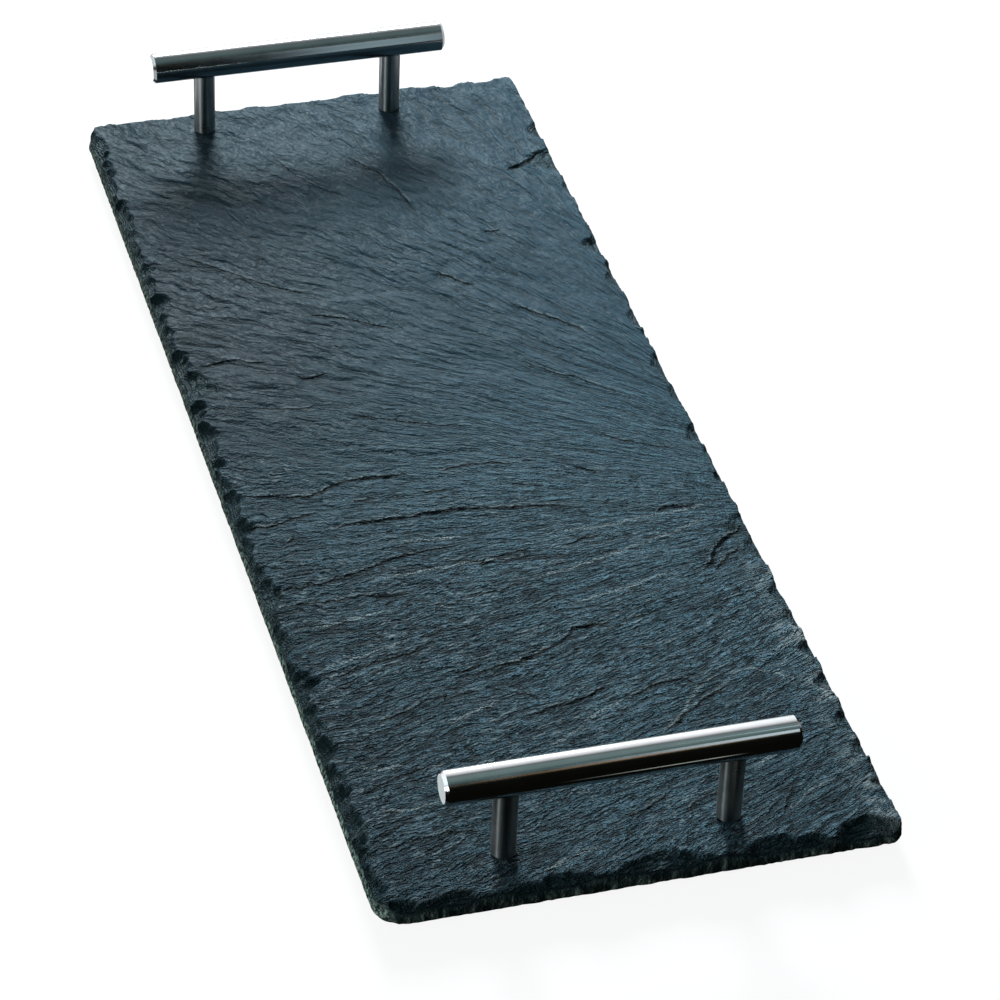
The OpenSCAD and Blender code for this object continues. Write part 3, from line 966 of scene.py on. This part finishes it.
def face_colour(t):
    """Dark blue grey with pale specks and darker scars, and painted light and shade from the relief: lighter
    threads and crests, darker grooves, hollows and gaps between sheets, and a darker back.
    """
    base = t.ramp(t.noise(t.grain, (0.035, 0.012, 1), 4.0, 0.6, 0.3), SLATE_RANGE)
    for factor in tone_with_painted_light(t):
        base = t.dimmed(base, factor)
    # Painted light and shade from the relief: the threads, wrinkles and grit that raise the bump lighten the
    # colour, and their hollows darken it
    fine = t.fma(t.thread, 0.35, t.fma(t.wrinkle, 0.24, WRINKLE_MEAN * 0.24))
    fine = t.straight(t.fma(t.grit, 0.60, fine), 0.62, 0.83, 0.40, 1.60)
    base = t.dimmed(base, t.fma(t.minus(fine, 1.0), t.crisp, 1.0))
    # Painted shade: darker and bluer toward the back
    base = t.mix(t.ease(t.along, -0.04, 0.08), base, BACK_SHADE_TINT, "MULTIPLY")
    # Painted highlight on the crest lines, fading toward the back
    pale = t.times(t.ease(t.crest_line, 1.22, 1.55), t.ease(t.patch, 0.35, 0.65, 0.35, 0.95))
    base = t.mix(t.times(pale, t.worn), base, CREST_HIGHLIGHT)
    # Painted shade in the grooves
    base = t.mix(t.times(t.ease(t.groove, 1.12, 1.42, 0.0, 0.85), t.worn), base, GROOVE_SHADE)
    # Painted shade in the hollows of the relief
    base = t.mix(t.ease(t.crest, -0.1, -0.9, 0.0, 0.5), base, HOLLOW_SHADE)
    speck = t.ease(t.noise(t.place, 1150.0, 1.0), 0.735, 0.78)
    base = t.mix(t.times(speck, 0.45), base, SPECK_PALE)
    base = t.mix(t.times(t.in_scar, 0.45), base, SCAR_DARK)
    # Painted shade in the gap at each riser between the sheets of a scar
    gap = t.ease(t.sheet, 0.30, 0.02, 0.0, 0.75)
    return t.mix(t.times(gap, t.in_scar), base, SHEET_GAP_SHADE)


def edge_colour(t, base):
    """The edge faces over the face's colour, then a painted highlight on the lips of the cracks, the bruises,
    the pale rim and painted shade in the cracks.
    """
    flute = t.ramp(t.noise(t.grain, (0.50, 0.15, 1), 2.5, 0.6, 0.3), FLUTE_RANGE)
    sawn = t.ramp(t.noise(t.place, 700.0, 4.0, 0.75), SAWN_RANGE)
    sawn = t.dimmed(sawn, t.ease(t.along, 0.02, -0.15, 0.9, 1.55))
    at_left = t.ease(t.across, (FACE_ZONE - HALF_X) * MM, (2 - HALF_X) * MM)
    base = t.mix(t.edge, base, t.mix(at_left, flute, sawn))
    # Painted highlight on the near lip of each crack
    lip_highlight = t.times(
        t.ease(t.crack, 0.35, 0.70), t.ease(t.crack, 1.6, 0.9),
        t.crack_power, t.ease(t.pores, 0.40, 0.60, 0.0, 0.9),
    )
    base = t.mix(lip_highlight, base, LIP_HIGHLIGHT)
    off = t.math("ABSOLUTE", t.plus(t.scuff, t.times(t.ragged, 1.6)))
    bruise = t.times(t.ease(off, 0.80, 0.10), t.scuff_power, t.ease(t.grit, 0.38, 0.58, 0.10, 0.90))
    base = t.mix(bruise, base, BRUISE_PALE)
    rim = t.times(
        t.ease(t.across, 0.0630, 0.0725), t.ease(t.along, -0.060, -0.100),
        t.ease(t.noise(t.place, 230.0, 4.0, 0.65), 0.43, 0.58, 0.0, 0.90),
        t.ease(t.noise(t.place, 75.0, 2.0), 0.43, 0.56, 0.15, 1.0),
        t.on_face, t.ease(t.scar, 0.9, 0.3, 0.45, 1.0),
    )
    base = t.mix(rim, base, RIM_PALE)
    # Painted shade in the cracks
    return t.mix(t.line, base, CRACK_SHADE)


def slate_material():
    t = new_material("riven_slate")
    read_slate(t)
    normal = slate_relief(t)
    gloss = t.plus(t.thread, t.times(t.edge, 0.5))
    t.shade({
        "Base Color": edge_colour(t, face_colour(t)),
        "Roughness": t.straight(gloss, 0.3, 0.9, 0.42, 0.66),
        "Specular IOR Level": 0.02,
        "Specular Tint": (0.5, 0.8, 1.0, 1.0),
        "Normal": normal,
    })
    return t.owner


# Painted highlight: the ends of a bar are painted paler than the bar
END_FACE_HIGHLIGHT = (0.92, 0.94, 0.94)


def chrome_material(name, low, high, haze, turned):
    """Polished chrome between two colours. A bar has rougher turned ends, painted paler as a painted
    highlight, and a post is brushed round its axis.
    """
    t = new_material(name)
    place = t.local()
    # Polishing lines run along the bars, with faint smears over them
    lines = t.noise(place, (6.0, 900.0, 900.0), 3.0, 0.6)
    smear = t.noise(place, 90.0, 3.0, 0.6, 0.4)
    rough = t.plus(t.fma(smear, 0.09, haze), t.times(lines, 0.05))
    colour = t.ramp(smear, [(0.3, low), (0.75, high)])
    if turned:
        facing = t.math("ABSOLUTE", t.split(t.add("NewGeometry").outputs["Normal"])[0])
        end = t.ease(facing, 0.80, 0.95)
        rough = t.fma(end, 0.62, rough)
        colour = t.mix(end, colour, END_FACE_HIGHLIGHT)
    else:
        t.shade({
            "Specular Tint": (0.08, 0.08, 0.08, 1.0), "Anisotropic": 0.92, "Anisotropic Rotation": 0.25,
            "Tangent": t.add("Tangent", direction_type="RADIAL", axis="Z"),
        })
    t.shade({"Base Color": colour, "Metallic": 1.0, "Roughness": rough, "Normal": t.bump(lines, 0.004 * MM)})
    return t.owner


def zinc_material():
    t = new_material("zinc_plate")
    bloom = t.noise(t.local(), 500.0, 4.0, 0.6)
    t.shade({
        "Base Color": t.ramp(bloom, [(0.3, (0.36, 0.36, 0.34)), (0.7, (0.52, 0.52, 0.49))]),
        "Metallic": 1.0,
        "Roughness": t.straight(bloom, 0.2, 0.8, 0.28, 0.46),
        "Normal": t.bump(bloom, 0.02 * MM),
    })
    return t.owner


def rubber_material():
    t = new_material("foot_rubber")
    place = t.local()
    dust = t.noise(place, 160.0, 4.0, 0.6)
    t.shade({
        "Base Color": t.ramp(dust, [(0.35, (0.010, 0.011, 0.012)), (0.75, (0.022, 0.023, 0.024))]),
        "Roughness": t.straight(dust, 0.2, 0.8, 0.62, 0.8),
        "Normal": t.bump(t.noise(place, 1800.0, 4.0, 0.6), 0.06 * MM),
    })
    return t.owner


slate = build_slate()
slate.data.materials.append(slate_material())
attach(slate, "root")
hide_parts("slate_board")

# Finishes by the record's slot, and the posts and the back bar with darker copies of the chrome of their own:
# painted shade
finishes = {
    "polished_steel": chrome_material(
        "polished_chrome", (0.48, 0.49, 0.495), (0.55, 0.56, 0.565), 0.035, True),
    "zinc_steel": zinc_material(),
    "foot_rubber": rubber_material(),
}
# Painted shade: the posts are the same chrome made darker; their brushing round the axis is their own
post_shaded_finish = chrome_material("post_chrome_shaded", (0.27, 0.28, 0.28), (0.34, 0.35, 0.35), 0.22, False)
shaded_finish = dict.fromkeys(POSTS, post_shaded_finish)
# Painted shade: the back bar is the same chrome made darker
shaded_finish["back_grip_bar"] = chrome_material(
    "shaded_chrome", (0.29, 0.30, 0.305), (0.34, 0.35, 0.355), 0.09, True)
for row in frame["record"]["subparts"]:
    name = row["node"]
    if name == "slate_board":
        continue
    data = nodes[name].data
    data.materials.clear()
    data.materials.append(shaded_finish.get(name, finishes[row["material_slot"]]))
    data.shade_smooth()
    data.set_sharp_from_angle(angle=SMOOTH_METAL)

# Stage: a floor that is white to the camera and grey to the light, so that it keeps a soft shadow
FLOOR_GAP = 0.0003
FLOOR_GREY, FLOOR_GLOW = (0.16, 0.165, 0.17, 1), 0.90
ROOM_DARK, STRIPE_GLOW = (0.004, 0.004, 0.003), (0.62, 0.70, 0.62)
STRIPE_Y = -0.228
bpy.ops.mesh.primitive_plane_add(size=40.0, location=(0, 0, -FLOOR_GAP))
floor = bpy.context.object
floor.name = "studio_floor"
f = new_material("studio_floor")
path = f.add("LightPath").outputs
x, y, _ = f.split(f.local())
seen = f.math("MAXIMUM", path["Is Camera Ray"], path["Is Transmission Ray"])
behind = f.ease(y, -0.12, 0.05)
glow = f.math("MAXIMUM", seen, f.times(path["Is Glossy Ray"], behind))
f.shade({
    "Base Color": FLOOR_GREY, "Roughness": 1.0, "Specular IOR Level": 0.0,
    "Emission Color": (1, 1, 1, 1), "Emission Strength": f.times(glow, FLOOR_GLOW),
})
# Painted reflection: the metal sees the floor in front dark, with one thin glowing line that draws a
# highlight in it
highlight_stripe = f.times(
    f.ease(f.math("ABSOLUTE", f.minus(y, STRIPE_Y)), 0.0045, 0.002),
    f.ease(x, -0.012, 0.030), f.ease(x, 0.046, 0.036),
)
dark = f.add("Emission", {"Color": f.mix(highlight_stripe, ROOM_DARK, STRIPE_GLOW), "Strength": 1.0})
in_front = f.times(path["Is Glossy Ray"], f.minus(1.0, behind))
swap = f.add("MixShader", {0: in_front, 1: f.shader, 2: dark})
f.put(swap, f.nodes["Material Output"].inputs["Surface"])
floor.data.materials.append(f.owner)

# A glowing card beside the front handle, hidden from the camera and from diffuse and shadow rays, which only
# the back bar reflects: a painted reflection
CARD = [(0.074, -0.205, 0.032), (0.140, -0.205, 0.032), (0.190, -0.205, 0.50), (0.112, -0.205, 0.50)]
card_mesh = bpy.data.meshes.new("glowing_card")
card_mesh.from_pydata(CARD, [], [(0, 1, 2, 3)])
card = new_object("glowing_card", card_mesh)
card.visible_camera = card.visible_diffuse = card.visible_shadow = card.visible_transmission = False
c = new_material("glowing_card")
c.shade({
    "Base Color": (0, 0, 0, 1), "Specular IOR Level": 0.0,
    "Emission Color": (0.62, 0.84, 0.92, 1), "Emission Strength": 1.0,
})
card_mesh.materials.append(c.owner)

# World: white to the camera, and to the object a room with a bright back wall and a dark front
ROOM = [
    (0.0, (1.70, 1.80, 1.86)), (0.225, (1.64, 1.68, 1.74)), (0.30, (1.15, 1.14, 1.18)),
    (0.345, (0.62, 0.62, 0.63)), (0.395, (0.16, 0.20, 0.20)), (0.43, (0.25, 0.34, 0.35)),
    (0.56, (0.22, 0.31, 0.31)), (0.60, (0.15, 0.23, 0.23)), (0.65, (0.10, 0.16, 0.155)),
    (0.70, (0.035, 0.050, 0.045)), (0.78, (0.012, 0.014, 0.010)), (0.85, (0.005, 0.005, 0.004)),
]
PANEL, WARM_PANEL, SIDE_PANEL = (0.98, 1.16, 1.24), (0.40, 0.23, 0.10), (1.75, 1.95, 2.0)
DIFFUSE_SHARE = 0.16
world = bpy.data.worlds.new("studio")
bpy.context.scene.world = world
w = Tree(world)
path = w.add("LightPath").outputs
x, y, z = w.split(w.add("TexCoord").outputs["Generated"])
turn = w.math("DIVIDE", w.math("ARCTAN2", w.math("MAXIMUM", z, 0.0), y), math.pi)
room = w.ramp(turn, ROOM)
# Each panel has its colour and the soft borders of its patch
for colour, *borders in (
    (PANEL, (x, 0.250, 0.285), (turn, 0.645, 0.660), (turn, 0.755, 0.735)),
    (WARM_PANEL, (x, 0.228, 0.242), (x, 0.285, 0.262), (turn, 0.705, 0.730), (turn, 0.785, 0.750)),
    (SIDE_PANEL, (x, -0.45, -0.65), (z, 0.18, 0.30), (z, 0.85, 0.72)),
):
    room = w.mix(w.times(*(w.ease(*border) for border in borders)), room, colour)
seen = w.math("MAXIMUM", path["Is Camera Ray"], path["Is Transmission Ray"])
backdrop = w.nodes["Background"].inputs
w.put(w.mix(seen, room, (1.0, 1.0, 1.0)), backdrop["Color"])
w.put(w.fma(path["Is Diffuse Ray"], DIFFUSE_SHARE - 1, 1.0), backdrop["Strength"])

# Lamps: place, target, size, power and colour
LAMPS = {
    "back_key": ((0.16, 1.12, 0.56), (0, 0.05, 0), 0.42, 27.0, (0.87, 0.97, 1.0)),
    "left_fill": ((-1.35, -0.62, 0.30), (0, -0.05, 0), 0.6, 8.0, (0.93, 1.0, 0.97)),
}
for name, (place, target, size, power, colour) in LAMPS.items():
    data = bpy.data.lights.new(name, "AREA")
    data.shape, data.size, data.energy, data.color = "DISK", size, power, colour
    lamp = new_object(name, data)
    lamp.location = place
    lamp.rotation_euler = (Vector(target) - Vector(place)).to_track_quat("-Z", "Y").to_euler()

# Camera, from a fit to the outlines in the photograph
LENS, SENSOR = 152.04, 36.0
CLIP = (0.05, 20.0)
EYE = (-0.291078, -0.995218, 0.774446)
RIGHT = (0.962381, -0.269593, 0.033809)
DOWN = (-0.137434, -0.590348, -0.795362)
AHEAD = (0.234383, 0.760795, -0.605191)
camera_data = bpy.data.cameras.new("camera")
camera_data.lens, camera_data.sensor_width = LENS, SENSOR
camera_data.clip_start, camera_data.clip_end = CLIP
camera = new_object("camera", camera_data)
turned = Matrix((RIGHT, [-v for v in DOWN], [-v for v in AHEAD])).transposed().to_4x4()
camera.matrix_world = Matrix.Translation(EYE) @ turned
bpy.context.scene.camera = camera

bpy.context.scene.view_settings.view_transform = "Standard"

bpy.context.view_layer.update()
